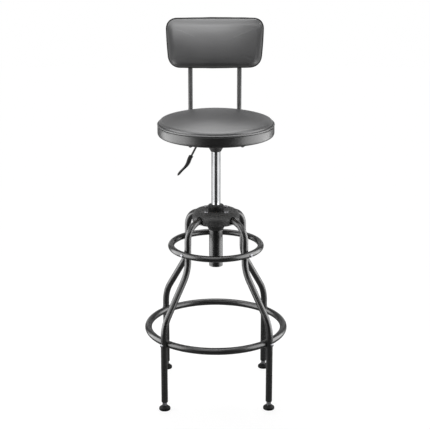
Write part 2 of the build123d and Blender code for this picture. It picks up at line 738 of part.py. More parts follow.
def seat_cushion():
    """Crowned top over a straight side, drawn in where the piping is sewn on."""
    side = SEAT_R - COVER_T - FACE_FIT
    groove_r = PIPING_CENTRE_R - PIPING_R - FACE_FIT
    groove_low = PIPING_Z - PIPING_R - FACE_FIT
    groove_high = PIPING_Z + PIPING_R + FACE_FIT
    base = BOARD_TOP_Z + FACE_FIT
    crown = SEAT_BASE_Z + SEAT_CROWN
    shoulder_r = SEAT_R - RIM_WIDTH
    lean = asin(shoulder_r / CAP_RADIUS)
    shoulder_z = crown - CAP_RADIUS * (1 - cos(lean))
    across = groove_r - shoulder_r
    down = shoulder_z - groove_high
    turn = 2 * atan2(down, across) - lean
    round_r = across / (sin(turn) - sin(lean))
    middle = (lean + turn) / 2
    on_round = (
        shoulder_r + round_r * (sin(middle) - sin(lean)),
        shoulder_z - round_r * (cos(lean) - cos(middle)),
    )
    on_cap = (CAP_RADIUS * sin(lean / 2), crown - CAP_RADIUS * (1 - cos(lean / 2)))
    profile = make_face([
        Polyline((0, crown), (0, base), (side, base), (side, groove_low)),
        Polyline((side, groove_low), (groove_r, groove_low), (groove_r, groove_high)),
        ThreePointArc((groove_r, groove_high), on_round, (shoulder_r, shoulder_z)),
        ThreePointArc((shoulder_r, shoulder_z), on_cap, (0, crown)),
    ])
    return revolve(Plane.XZ * profile, Axis.Z)


# Backrest posts: tubes that run under the seat and turn up behind it
def backrest_post(x):
    path = FilletPolyline(
        (x, POST_FRONT_Y, POST_Z),
        (x, POST_BACK_Y, POST_Z),
        (x, POST_BACK_Y, POST_TOP_Z),
        radius=POST_BEND,
    )
    post = tube_along(path, POST_R, POST_R - POST_WALL)
    for y in POST_SCREW_Y:
        post -= Pos(x, y, POST_Z) * Cylinder(HOLE_R, 4 * POST_R)
    for z in BACK_SCREW_Z:
        post -= Pos(x, POST_BACK_Y, z) * Rot(90, 0, 0) * Cylinder(HOLE_R, 4 * POST_R)
    return post


def post_plugs():
    spigot = POST_R - POST_WALL - SEAT_FIT
    plug = turned(
        [
            (0, -PLUG_DEPTH),
            (spigot, -PLUG_DEPTH),
            (spigot, 0),
            (POST_R, 0),
            (POST_R, PLUG_CAP),
            (0, PLUG_CAP),
        ],
        [(4, 1.5)],
    )
    plugs = []
    for x in (-POST_X, POST_X):
        plugs.append((Pos(x, POST_FRONT_Y, POST_Z) * Rot(90, 0, 0) * plug).solid())
        plugs.append((Pos(x, POST_BACK_Y, POST_TOP_Z) * plug).solid())
    return Compound(plugs)


# Backrest
def back_outline(inset):
    """Outline of the backrest seen from the front, drawn in by this much all round."""
    top = BACK_TOP_Z - inset
    low = BACK_BOTTOM_Z + inset
    wide = BACK_TOP_HALF - inset
    narrow = BACK_BOTTOM_HALF - inset
    middle = (top + low) / 2
    side = (wide + narrow) / 2 + BACK_BULGE
    face = make_face([
        ThreePointArc((-wide, top), (0, top + BACK_BULGE), (wide, top)),
        ThreePointArc((wide, top), (side, middle), (narrow, low)),
        ThreePointArc((narrow, low), (0, low - BACK_BULGE), (-narrow, low)),
        ThreePointArc((-narrow, low), (-side, middle), (-wide, top)),
    ])
    corners = face.vertices().sort_by(Axis.Y)
    for corner in corners:
        radius = BACK_BOTTOM_CORNER if corner.Y < middle else BACK_TOP_CORNER
        here = face.vertices().sort_by_distance(corner)[0]
        face = fillet(here, max(radius - inset, BACK_LEAST_CORNER))
    return face


def back_slab(inset, front, back):
    return extrude(Plane.XZ.offset(-back) * back_outline(inset), back - front)


def backrest_pad():
    """Crowned front with a full round edge, hollowed behind for the board."""
    slab = back_slab(0, BACK_FRONT_Y - 1.0, PANEL_Y)
    middle = (BACK_TOP_Z + BACK_BOTTOM_Z) / 2
    crown = Pos(0, BACK_FRONT_Y + BACK_CROWN_RADIUS, middle) * Rot(90, 0, 0) * Sphere(BACK_CROWN_RADIUS)
    pad = slab & crown
    pad = fillet(pad.faces().sort_by(Axis.Y)[0].edges(), BACK_FRONT_ROUND)
    pad = fillet(pad.faces().sort_by(Axis.Y)[-1].edges(), BACK_REAR_ROUND)
    pocket = back_slab(BACK_BOARD_INSET - FACE_FIT, PANEL_Y - BACK_BOARD_T - FACE_FIT, PANEL_Y + 1.0)
    return pad - pocket


def back_screw_places():
    return [(x, z) for x in (-POST_X, POST_X) for z in BACK_SCREW_Z]


def backrest_board():
    front = PANEL_Y - BACK_BOARD_T
    board = back_slab(BACK_BOARD_INSET, front, PANEL_Y)
    hole = tee_hole(BACK_BOARD_T)
    for x, z in back_screw_places():
        board -= Pos(x, front + TEE_FLANGE, z) * Rot(90, 0, 0) * hole
    return board


def backrest_tee_nuts():
    front = PANEL_Y - BACK_BOARD_T
    nut = tee_nut(BACK_BOARD_T - TEE_FLANGE - 1.0)
    return Compound([
        (Pos(x, front + TEE_FLANGE, z) * Rot(90, 0, 0) * nut).solid() for x, z in back_screw_places()
    ])


def backrest_panel():
    panel = back_slab(BACK_PANEL_INSET, PANEL_Y, BACK_FACE_Y)
    for x, z in back_screw_places():
        panel -= Pos(x, PANEL_Y, z) * Rot(90, 0, 0) * Cylinder(HOLE_R, 8 * BACK_PANEL_T)
    return panel


def backrest_screws():
    length = 2 * POST_R + BACK_PANEL_T + BACK_BOARD_T - 1.0
    screw = button_screw(POST_HEAD_R, POST_HEAD_H, length)
    return Compound([
        (Pos(x, POST_BACK_Y + POST_R, z) * Rot(-90, 0, 0) * screw).solid() for x, z in back_screw_places()
    ])


# Every piece, by name
plate_places, post_places = board_screw_places()
pieces = {
    "lower_foot_ring": foot_ring(LOW_RING_R, LOW_RING_TUBE, LOW_RING_Z, LEG_LOW_RADIUS),
    "upper_foot_ring": foot_ring(HIGH_RING_R, HIGH_RING_TUBE, HIGH_RING_Z, LEG_HIGH_RADIUS),
    "lower_ring_screws": round_the_corners(low_ring_screw()),
    "upper_ring_screws": round_the_corners(high_ring_screw()),
    "upper_ring_rivet_nuts": round_the_corners(rivet_nut()),
    "hub_casting": hub_casting(),
    "hub_plate": hub_plate(),
    "hub_screws": round_the_corners(hub_screw()),
    "hub_nuts": round_the_corners(hub_nut()),
    "column_tube": ring_of(COLUMN_INNER_R, COLUMN_R, COLUMN_BOTTOM_Z, COLUMN_TOP_Z),
    "column_end_plate": ring_of(
        SPIGOT_R + RUNNING_FIT, COLUMN_INNER_R - SEAT_FIT / 2, END_PLATE_Z, END_PLATE_Z + END_PLATE_T
    ),
    "guide_bushing": guide_bushing(),
    "bearing_lower_washer": ring_of(
        SPIGOT_R + 3 * RUNNING_FIT, WASHER_R, LOW_WASHER_Z, LOW_WASHER_Z + WASHER_T
    ),
    "leg_inserts": round_the_corners(Pos(LEG_LOW_RADIUS, 0, 0) * leg_insert()),
    "bearing_cage": ball_cage(),
    "bearing_balls": cage_balls(),
    "bearing_upper_washer": ring_of(SPIGOT_R + SEAT_FIT / 2, WASHER_R, HIGH_WASHER_Z, ROD_SHOULDER_Z),
    "piston_rod": piston_rod(),
    "gas_piston": gas_piston(),
    "retaining_clip": retaining_clip(),
    "bump_stop": ring_of(ROD_R + SEAT_FIT, BUMP_R, ROD_SHOULDER_Z, BUMP_TOP_Z),
    "gas_cylinder": gas_cylinder(),
    "rod_guide": ring_of(
        ROD_R + RUNNING_FIT,
        CYLINDER_INNER_R - SEAT_FIT / 2,
        CYLINDER_BOTTOM_Z,
        CYLINDER_BOTTOM_Z + ROD_GUIDE_H,
    ),
    "release_pin": release_pin(),
    "seat_socket": seat_socket(),
    "seat_plate": seat_plate(),
    "seat_plate_screws": seat_screws(plate_places),
    "post_screws": seat_screws(post_places),
    "seat_tee_nuts": seat_tee_nuts(plate_places + post_places),
    "lever_bracket": lever_bracket(),
    "lever_pivot_pin": pivot_pin(),
    "lever_rod": lever_rod(),
    "lever_grip": lever_grip(),
    "seat_board": seat_board(),
    "seat_band": seat_band(),
    "seat_piping": seat_piping(),
    "seat_cushion": seat_cushion(),
    "backrest_post_left": backrest_post(-POST_X),
    "backrest_post_right": backrest_post(POST_X),
    "post_plugs": post_plugs(),
    "backrest_pad": backrest_pad(),
    "backrest_board": backrest_board(),
    "backrest_tee_nuts": backrest_tee_nuts(),
    "backrest_panel": backrest_panel(),
    "backrest_screws": backrest_screws(),
}
leg = leg_tube()
pad = foot_pad()
stud = foot_stud()
for corner, angle in CORNERS.items():
    pieces["leg_" + corner] = at_angle(leg, angle)
    pieces["foot_pad_" + corner] = at_angle(Pos(LEG_LOW_RADIUS, 0, 0) * pad, angle)
    pieces["foot_stud_" + corner] = at_angle(Pos(LEG_LOW_RADIUS, 0, 0) * stud, angle)

for name, piece in pieces.items():
    export_step(piece, f"parts/{name}.step")
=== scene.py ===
from math import asin, atan2, cos, pi, radians, sin, sqrt

import bmesh
import bpy
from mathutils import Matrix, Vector


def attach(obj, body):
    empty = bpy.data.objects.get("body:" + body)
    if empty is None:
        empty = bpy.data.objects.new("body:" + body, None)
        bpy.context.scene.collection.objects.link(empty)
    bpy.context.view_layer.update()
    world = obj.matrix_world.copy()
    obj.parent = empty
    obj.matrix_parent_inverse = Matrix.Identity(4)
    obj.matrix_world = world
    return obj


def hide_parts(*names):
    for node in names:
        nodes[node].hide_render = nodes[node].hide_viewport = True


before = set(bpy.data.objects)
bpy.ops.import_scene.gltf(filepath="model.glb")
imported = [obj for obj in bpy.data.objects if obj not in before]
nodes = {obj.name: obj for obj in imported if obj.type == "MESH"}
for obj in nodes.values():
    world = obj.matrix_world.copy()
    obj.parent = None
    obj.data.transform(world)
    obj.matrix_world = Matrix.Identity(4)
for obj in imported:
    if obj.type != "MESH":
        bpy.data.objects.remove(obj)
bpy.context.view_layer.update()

# Sizes of the upholstery, in metres. The covers are a little fuller than the part's solids
SEAT_R = 0.177
SEAT_BASE_Z = 0.833
BAND_TOP_Z = 0.8645
BAND_ROUND = 0.008
BAND_T = 0.0013
WRAP_R = 0.140
PIPING_R = 0.003
PIPING_CENTRE_R = 0.175
PIPING_Z = 0.8675
SEAM_R = 0.1728
SEAM_Z = 0.8697
SEAM_TUCK = 0.0018
CROWN_Z = 0.9045
CAP_R = 0.580
SHOULDER_R = 0.1645
CUSHION_BASE_Z = 0.8465
BACK_FRONT_Y = 0.143
BACK_REAR_Y = 0.187
BACK_TOP_Z = 1.1577
BACK_BOTTOM_Z = 1.0098
BACK_TOP_HALF = 0.1492
BACK_BOTTOM_HALF = 0.1402
BACK_TOP_CORNER = 0.026
BACK_BOTTOM_CORNER = 0.028
BACK_BULGE = 0.0025
BACK_CROWN_R = 0.700
BACK_ARCH_R = 0.250
BACK_EDGE_ROUND = 0.020
BACK_REAR_ROUND = 0.005
WELT_R = 0.0024


# Finishes
NOISE_LOW = 0.3
NOISE_HIGH = 0.7


def grey(level):
    return (level, level, level)


class Wire:
    """A socket of a node tree. Arithmetic on wires adds Math nodes to the tree."""

    def __init__(self, tree, socket=None):
        self.tree = tree
        self.socket = socket

    def node(self, kind, settings=None, sockets=None, out=0):
        """Adds a node: its settings first, then values or wires for its sockets. Gives one output."""
        made = self.tree.nodes.new(kind)
        for name, value in (settings or {}).items():
            setattr(made, name, value)
        for name, value in (sockets or {}).items():
            if isinstance(value, Wire):
                self.tree.links.new(value.socket, made.inputs[name])
            else:
                made.inputs[name].default_value = value
        return Wire(self.tree, made.outputs[out]) if made.outputs else None

    def also(self, name):
        """Another output of the node that this wire comes from."""
        return Wire(self.tree, self.socket.node.outputs[name])

    def maths(self, operation, *values):
        return self.node("ShaderNodeMath", {"operation": operation}, dict(enumerate(values)))

    def __add__(self, other):
        return self.maths("ADD", self, other)

    def __radd__(self, other):
        return self.maths("ADD", other, self)

    def __sub__(self, other):
        return self.maths("SUBTRACT", self, other)

    def __rsub__(self, other):
        return self.maths("SUBTRACT", other, self)

    def __mul__(self, other):
        return self.maths("MULTIPLY", self, other)

    def __rmul__(self, other):
        return self.maths("MULTIPLY", other, self)

    def step(self, low, high):
        """0 below low, 1 above high, smooth between."""
        settings = {"interpolation_type": "SMOOTHSTEP"}
        return self.node("ShaderNodeMapRange", settings, {"Value": self, 1: low, 2: high})

    def tint(self, dark, light):
        """From dark to light as this goes from 0 to 1."""
        return self.node(
            "ShaderNodeMix", {"data_type": "RGBA"}, {0: self, 6: (*dark, 1.0), 7: (*light, 1.0)}, 2
        )

    def mottle(self, dark, light):
        """From dark to light over the values that a noise mostly has."""
        return self.step(NOISE_LOW, NOISE_HIGH).tint(dark, light)


class Finish:
    """A material on a principled shader, patterned by the piece's own object coordinates."""

    def __init__(self, name, **constants):
        self.material = bpy.data.materials.new(name)
        self.material.use_nodes = True
        tree = self.material.node_tree
        self.shader = tree.nodes["Principled BSDF"]
        self.wire = Wire(tree)
        self.place = self.wire.node("ShaderNodeTexCoord", out="Object")
        for name, value in constants.items():
            self.shader.inputs[name.replace("_", " ")].default_value = value

    def noise(self, scale, detail, rough=0.55, stretch=None):
        """Noise, drawn out along the axes where stretch is small."""
        place = self.place
        if stretch:
            place = self.wire.node("ShaderNodeMapping", None, {"Vector": place, "Scale": stretch})
        sockets = {"Vector": place, "Scale": scale, "Detail": detail, "Roughness": rough}
        return self.wire.node("ShaderNodeTexNoise", None, sockets)

    def cells(self, scale, feature, randomness, warp):
        """Cell pattern whose walls a noise bends by warp."""
        swirl_scale = 0.6 * scale
        swirl = self.wire.node("ShaderNodeTexNoise", None, {"Vector": self.place, "Scale": swirl_scale}, 1)
        shift = self.wire.node("ShaderNodeVectorMath", {"operation": "SCALE"}, {0: swirl, "Scale": warp})
        place = self.wire.node("ShaderNodeVectorMath", {"operation": "ADD"}, {0: self.place, 1: shift})
        sockets = {"Vector": place, "Scale": scale, "Randomness": randomness}
        return self.wire.node("ShaderNodeTexVoronoi", {"feature": feature}, sockets)

    def axis(self, letter):
        """One coordinate of the piece."""
        return self.wire.node("ShaderNodeSeparateXYZ", None, {0: self.place}, letter)

    def lay(self, colour, roughness, height, strength, depth):
        """Joins the colour, the roughness and a bump of this height to the shader."""
        bump = self.wire.node(
            "ShaderNodeBump", None, {"Strength": strength, "Distance": depth, "Height": height}
        )
        for wire, name in ((colour, "Base Color"), (roughness, "Roughness"), (bump, "Normal")):
            self.wire.tree.links.new(wire.socket, self.shader.inputs[name])
        return self.material


def seat_vinyl():
    """Smooth charcoal vinyl with a fine pressed grain."""
    vinyl = Finish("seat_vinyl", Specular_IOR_Level=0.7)
    pebble = vinyl.cells(850.0, "DISTANCE_TO_EDGE", randomness=0.9, warp=0.0006)
    crease = vinyl.noise(260.0, detail=4.0)
    patch = vinyl.noise(9.0, detail=2.0)
    height = pebble.step(0.0, 0.35) * 0.7 + crease * 0.5
    tone = patch * 0.7 + crease * 0.3
    rough = 0.34 + patch * 0.10 + crease * 0.05
    colour = tone.mottle((0.010, 0.010, 0.011), (0.018, 0.018, 0.019))
    return vinyl.lay(colour, rough, height, strength=0.10, depth=0.0004)


def band_vinyl():
    """Side band: black vinyl with a fine drawn line running round the seat."""
    rib_pitch = 0.0021
    vinyl = Finish("band_vinyl", Specular_IOR_Level=0.44)
    drawn = vinyl.noise(60.0, detail=4.0, rough=0.6, stretch=(1.0, 1.0, 22.0))
    rib = vinyl.wire.maths("SINE", vinyl.axis("Z") * (2 * pi / rib_pitch)) * 0.5 + 0.5
    patch = vinyl.noise(14.0, detail=2.0)
    height = drawn * 0.8 + rib * 0.35
    rough = 0.30 + drawn * 0.12
    colour = (patch * 0.5 + drawn * 0.5).mottle(grey(0.004), grey(0.010))
    return vinyl.lay(colour, rough, height, strength=0.22, depth=0.0005)


def frame_coat(name, dark, light, smooth, peel):
    """Baked-on black coat: satin, with a faint orange-peel skin and a little dulling."""
    coat = Finish(name, Specular_IOR_Level=0.5)
    skin = coat.noise(420.0, detail=2.0)
    dull = coat.noise(16.0, detail=5.0, rough=0.65)
    rough = smooth + dull * 0.12 + skin * 0.04
    colour = (dull * 0.6 + skin * 0.4).mottle(grey(dark), grey(light))
    return coat.lay(colour, rough, skin, strength=peel, depth=0.0004)


def hub_coat():
    """Wrinkle coat of the hub casting: small hard speckles."""
    coat = Finish("hub_coat", Specular_IOR_Level=0.3)
    wrinkle = coat.cells(520.0, "SMOOTH_F1", randomness=1.0, warp=0.0012)
    dust = coat.noise(900.0, detail=3.0)
    patch = coat.noise(22.0, detail=3.0)
    speckle = (wrinkle * 0.8 + dust * 0.4).step(0.35, 0.75)
    rough = 0.36 + speckle * 0.2
    colour = (speckle * 0.7 + patch * 0.3).tint(grey(0.012), grey(0.034))
    return coat.lay(colour, rough, wrinkle + dust * 0.5, strength=0.45, depth=0.0008)


def bare_metal(name, dark, light, smooth, scratch, stretch):
    """Plated or polished metal with fine scratches along one way."""
    metal = Finish(name, Metallic=1.0)
    drawn = metal.noise(240.0, detail=4.0, rough=0.6, stretch=stretch)
    cloud = metal.noise(40.0, detail=3.0)
    rough = smooth + drawn * (0.5 * scratch) + cloud * (0.5 * scratch)
    colour = (cloud * 0.6 + drawn * 0.4).mottle(dark, light)
    return metal.lay(colour, rough, drawn, strength=0.05, depth=0.0001)


def moulded_plastic(name, dark, light, smooth, shine=0.25):
    """Moulded black plastic with a spark-eroded texture."""
    plastic = Finish(name, Specular_IOR_Level=shine)
    spark = plastic.noise(1400.0, detail=3.0)
    flow = plastic.noise(28.0, detail=3.0)
    rough = smooth + spark * 0.10 + flow * 0.06
    colour = (flow * 0.7 + spark * 0.3).mottle(grey(dark), grey(light))
    return plastic.lay(colour, rough, spark, strength=0.12, depth=0.0002)


def board_wood():
    """Plywood: thin plies through its thickness, grain along its length."""
    ply_pitch = 0.004
    wood = Finish("board_wood", Specular_IOR_Level=0.3)
    grain = wood.noise(90.0, detail=5.0, rough=0.6, stretch=(0.08, 1.0, 1.0))
    through = wood.axis("Z") + wood.axis("Y")
    ply = wood.wire.maths("SINE", through * (2 * pi / ply_pitch)) * 0.5 + 0.5
    rough = 0.6 + grain * 0.2
    colour = (grain * 0.7 + ply * 0.3).tint((0.30, 0.19, 0.10), (0.58, 0.42, 0.26))
    return wood.lay(colour, rough, grain, strength=0.2, depth=0.0004)


ALL_WAYS = (1.0, 1.0, 1.0)
ALONG_THE_ROD = (6.0, 6.0, 1.0)
DOWN_THE_TUBE = (1.0, 1.0, 0.03)
SEAT_TOP = seat_vinyl()
WELT = moulded_plastic("welt_vinyl", 0.003, 0.007, smooth=0.80)
SEAT_BAND = band_vinyl()
FRAME_COAT = frame_coat("frame_coat", 0.006, 0.011, smooth=0.20, peel=0.03)
# Posts: the frame's black coat with a lighter base colour, a painted sheen that stands in for the light
# the posts reflect
POST_COAT_PAINTED_SHEEN = frame_coat("post_coat_painted_sheen", 0.028, 0.044, smooth=0.42, peel=0.06)
UNDER_SEAT = frame_coat("under_seat_coat", 0.010, 0.020, smooth=0.42, peel=0.12)
HUB_COAT = hub_coat()
ZINC = bare_metal("zinc_plate", (0.17, 0.17, 0.18), (0.24, 0.24, 0.25), 0.24, 0.20, ALL_WAYS)
STEEL = bare_metal("bright_steel", (0.46, 0.46, 0.47), (0.62, 0.62, 0.63), 0.24, 0.16, ALONG_THE_ROD)
CHROME = bare_metal("chrome_tube", (0.56, 0.57, 0.58), (0.64, 0.65, 0.66), 0.13, 0.06, DOWN_THE_TUBE)
PLASTIC = moulded_plastic("black_plastic", 0.003, 0.007, smooth=0.34)
FOOT_PLASTIC = moulded_plastic("foot_plastic", 0.002, 0.005, smooth=0.40, shine=0.08)
RUBBER = moulded_plastic("bump_rubber", 0.014, 0.024, smooth=0.62)
THREAD = moulded_plastic("seam_thread", 0.014, 0.030, smooth=0.60)
WOOD = board_wood()

COATS = {
    FRAME_COAT: [
        "leg_front_left", "leg_front_right", "leg_back_right", "leg_back_left",
        "lower_foot_ring", "upper_foot_ring", "column_tube", "hub_plate",
    ],
    POST_COAT_PAINTED_SHEEN: ["backrest_post_left", "backrest_post_right"],
    HUB_COAT: ["hub_casting"],
    UNDER_SEAT: ["seat_socket", "seat_plate", "lever_bracket", "lever_rod", "column_end_plate"],
    ZINC: [
        "lower_ring_screws", "upper_ring_screws", "upper_ring_rivet_nuts", "hub_screws", "hub_nuts",
        "seat_plate_screws", "post_screws", "seat_tee_nuts", "backrest_tee_nuts", "backrest_screws",
        "foot_stud_front_left", "foot_stud_front_right", "foot_stud_back_right", "foot_stud_back_left",
    ],
    STEEL: [
        "piston_rod", "gas_piston", "bearing_upper_washer", "bearing_lower_washer", "retaining_clip",
        "bearing_balls", "release_pin", "lever_pivot_pin",
    ],
    CHROME: ["gas_cylinder"],
    PLASTIC: [
        "guide_bushing", "lever_grip", "leg_inserts", "post_plugs", "bearing_cage", "rod_guide",
        "backrest_panel",
    ],
    FOOT_PLASTIC: [
        "foot_pad_front_left", "foot_pad_front_right", "foot_pad_back_right", "foot_pad_back_left",
    ],
    RUBBER: ["bump_stop"],
    WOOD: ["seat_board", "backrest_board"],
    SEAT_TOP: ["seat_cushion", "backrest_pad"],
    SEAT_BAND: ["seat_band", "seat_piping"],
}
for coat, names in COATS.items():
    for name in names:
        mesh = nodes[name].data
        mesh.materials.clear()
        mesh.materials.append(coat)


# Making pieces
def keep_piece(name, mesh, coat, body, replaced=()):
    """Makes a finished mesh a piece that rides on a body and stands for the replaced nodes."""
    mesh.materials.clear()
    mesh.materials.append(coat)
    piece = bpy.data.objects.new(name, mesh)
    bpy.context.scene.collection.objects.link(piece)
    mesh.shade_smooth()
    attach(piece, body)
    if replaced:
        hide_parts(*replaced)
    return piece


def settled_mesh(work):
    """The mesh of a working object with its modifiers applied; the object goes."""
    graph = bpy.context.evaluated_depsgraph_get()
    mesh = bpy.data.meshes.new_from_object(work.evaluated_get(graph))
    bpy.data.objects.remove(work)
    return mesh


def close_up(form, mesh):
    """Merges doubled points, turns the faces outwards and puts the form into the mesh."""
    bmesh.ops.remove_doubles(form, verts=form.verts, dist=1e-6)
    bmesh.ops.recalc_face_normals(form, faces=form.faces)
    form.to_mesh(mesh)
    form.free()
    return mesh


def finished_bmesh(form, name):
    return close_up(form, bpy.data.meshes.new(name))


def bridge(form, upper, lower):
    """Joins two closed rows of points with faces."""
    count = len(upper)
    for i in range(count):
        j = (i + 1) % count
        form.faces.new((upper[i], upper[j], lower[j], lower[i]))


def turned_mesh(name, profile, segments, sway):
    """Closed profile of (radius, height) points swept round the seat; sway moves each a little."""
    form = bmesh.new()
    hoops = []
    for radius, height in profile:
        hoop = []
        for i in range(segments):
            angle = 2 * pi * i / segments
            out, up = sway(angle, radius, height)
            reach = radius + out
            hoop.append(form.verts.new((reach * cos(angle), reach * sin(angle), height + up)))
        hoops.append(hoop)
    for hoop, following in zip(hoops, hoops[1:] + hoops[:1]):
        bridge(form, hoop, following)
    return finished_bmesh(form, name)


def sheet_of_squares(form, count, place):
    """Grid of squares, count each way; place turns (-1..1, -1..1) into a point. Gives its rim."""
    rows = []
    for j in range(count + 1):
        v = 2 * j / count - 1
        rows.append([form.verts.new(place(2 * i / count - 1, v)) for i in range(count + 1)])
    for low, high in zip(rows, rows[1:]):
        for i in range(count):
            form.faces.new((low[i], low[i + 1], high[i + 1], high[i]))
    rim = list(rows[0][:-1])
    rim += [row[-1] for row in rows[:-1]]
    rim += list(reversed(rows[-1][1:]))
    rim += [row[0] for row in reversed(rows[1:])]
    return rim


def pucker(angle, phases, pulls):
    """Uneven pull of a seam at an angle round the piece, from -1 to 1: a mean of waves."""
    return sum(sin(pull * angle + phase) for pull, phase in zip(pulls, phases)) / len(pulls)


CLOTH_FRAMES = 20
FOAM_PRESSURE = 4.0
HELD_WIDTH = 0.012


def freed(distance):
    """How free a cover is at a distance from where it is held, from 0 to 1."""
    return min(1.0, max(0.0, distance / HELD_WIDTH))


def cloth_moves(work, free):
    """How far cloth under pressure moves each point of a working object, held where free is 0."""
    held = work.vertex_groups.new(name="held")
    for index, share in enumerate(free):
        held.add([index], 1.0 - share, "REPLACE")
    start = [vertex.co.copy() for vertex in work.data.vertices]
    cloth = work.modifiers.new("cover", "CLOTH")
    cover = cloth.settings
    cover.quality = 6
    cover.mass = 0.25
    cover.tension_stiffness = 20.0
    cover.compression_stiffness = 20.0
    cover.shear_stiffness = 8.0
    cover.bending_stiffness = 2.0
    cover.use_pressure = True
    cover.uniform_pressure_force = FOAM_PRESSURE
    cover.vertex_group_mass = "held"
    cover.effector_weights.gravity = 0.0
    cloth.point_cache.frame_start = 1
    cloth.point_cache.frame_end = CLOTH_FRAMES
    scene = bpy.context.scene
    for number in range(1, CLOTH_FRAMES + 1):
        scene.frame_set(number)
    graph = bpy.context.evaluated_depsgraph_get()
    swollen = work.evaluated_get(graph).data
    moves = [(v.co - first) * share for v, first, share in zip(swollen.vertices, start, free)]
    work.modifiers.remove(cloth)
    scene.frame_set(1)
    return moves


def evened(moves, mesh, times):
    """Each point's move shared with its neighbours, as foam under a cover keeps it smooth."""
    joined = [[] for move in moves]
    for edge in mesh.edges:
        a, b = edge.vertices
        joined[a].append(b)
        joined[b].append(a)
    for step in range(times):
        moves = [
            (move + sum((moves[other] for other in near), Vector()) / len(near)) / 2
            for move, near in zip(moves, joined)
        ]
    return moves


def filled(work, free, most, evening):
    """Mesh of a padded piece, swollen by cloth pressure where it is free; no point moves past most."""
    moves = evened(cloth_moves(work, free), work.data, evening)
    for vertex, move in zip(work.data.vertices, moves):
        if move.length > most:
            move = move * (most / move.length)
        vertex.co = vertex.co + move
    finer = work.modifiers.new("finer", "SUBSURF")
    finer.levels = 1
    finer.render_levels = 1
    return settled_mesh(work)


def working_object(mesh):
    work = bpy.data.objects.new("work_" + mesh.name, mesh)
    bpy.context.scene.collection.objects.link(work)
    return work


# Seat cushion: crowned vinyl over foam, held down all round where the piping is sewn in
CUSHION_SQUARES = 72
RIM_SHARE = 0.84
SEAM_PULLS = (23, 37, 52, 71, 88)
SEAM_PHASES = (0.4, 2.1, 4.4, 1.3, 5.6)
PUCKER_START = 0.78
PUCKER_WIDTH = 0.22
PUCKER_DEPTH = 0.0006
CROWN_GIVE = 0.0012
WALL_HEIGHTS = (0.8665, 0.860, 0.853)
SEAM_CLEAR = 0.0004
CUSHION_SWELL = 0.0022
CUSHION_EVENING = 3
lean = asin(SHOULDER_R / CAP_R)
shoulder_z = CROWN_Z - CAP_R * (1 - cos(lean))
rim_turn = 2 * atan2(shoulder_z - SEAM_Z, SEAM_R - SHOULDER_R) - lean
rim_round = (SEAM_R - SHOULDER_R) / (sin(rim_turn) - sin(lean))


def cushion_profile(share):
    """Radius and height of the cushion's top, from the middle (0) to the seam (1)."""
    if share <= RIM_SHARE:
        radius = SHOULDER_R * share / RIM_SHARE
        return radius, CROWN_Z - (CAP_R - sqrt(CAP_R**2 - radius**2))
    turn = lean + (rim_turn - lean) * (share - RIM_SHARE) / (1 - RIM_SHARE)
    radius = SHOULDER_R + rim_round * (sin(turn) - sin(lean))
    return radius, shoulder_z - rim_round * (cos(lean) - cos(turn))


def disc_place(u, v):
    """Share of the radius and angle for a point of the square, ring by ring."""
    share = max(abs(u), abs(v))
    if share == 0:
        return 0.0, 0.0
    if abs(u) >= abs(v):
        angle = (pi / 4) * v / u + (pi if u < 0 else 0.0)
    else:
        angle = pi / 2 - (pi / 4) * u / v + (pi if v < 0 else 0.0)
    return share, angle


def cushion_top(u, v):
    share, angle = disc_place(u, v)
    radius, height = cushion_profile(share)
    near_seam = max(0.0, (share - PUCKER_START) / PUCKER_WIDTH) ** 2
    height -= PUCKER_DEPTH * near_seam * (1 + pucker(angle, SEAM_PHASES, SEAM_PULLS))
    return Vector((radius * cos(angle), radius * sin(angle), height - CROWN_GIVE * (1 - share)))


def cushion_base(u, v):
    share, angle = disc_place(u, v)
    radius = (SEAM_R - SEAM_TUCK) * share
    return Vector((radius * cos(angle), radius * sin(angle), CUSHION_BASE_Z))


def seat_cushion():
    form = bmesh.new()
    seam = sheet_of_squares(form, CUSHION_SQUARES, cushion_top)
    rim = seam
    tucked = 1 - SEAM_TUCK / SEAM_R
    for height in WALL_HEIGHTS:
        row = [form.verts.new((v.co.x * tucked, v.co.y * tucked, height)) for v in seam]
        bridge(form, rim, row)
        rim = row
    under = sheet_of_squares(form, CUSHION_SQUARES, cushion_base)
    bridge(form, rim, under)
    work = working_object(finished_bmesh(form, "seat_cushion_form"))
    free = []
    for vertex in work.data.vertices:
        above = vertex.co.z > SEAM_Z + SEAM_CLEAR
        free.append(freed(SEAM_R - vertex.co.xy.length) if above else 0.0)
    mesh = filled(work, free, CUSHION_SWELL, CUSHION_EVENING)
    return keep_piece("cushion_cover", mesh, SEAT_TOP, "seat", ("seat_cushion",))


seat_cushion()


# Trees for what follows a path round the upholstery
def path_tree(name, inputs):
    """New tree with a path, the named inputs and a finish; gives the tree, a wire and its inputs."""
    tree = bpy.data.node_groups.new(name, "GeometryNodeTree")
    sockets = [("Path", "NodeSocketGeometry"), *inputs, ("Finish", "NodeSocketMaterial")]
    for label, kind in sockets:
        tree.interface.new_socket(label, in_out="INPUT", socket_type=kind)
    tree.interface.new_socket("Piece", in_out="OUTPUT", socket_type="NodeSocketGeometry")
    wire = Wire(tree)
    return tree, wire, {label: wire.node("NodeGroupInput", out=label) for label, kind in sockets}


def finish_tree(wire, made, finish):
    """Ends a tree: instances made real, and the finish set."""
    real = wire.node("GeometryNodeRealizeInstances", None, {0: made})
    done = wire.node("GeometryNodeSetMaterial", None, {"Geometry": real, "Material": finish})
    wire.node("NodeGroupOutput", None, {0: done})


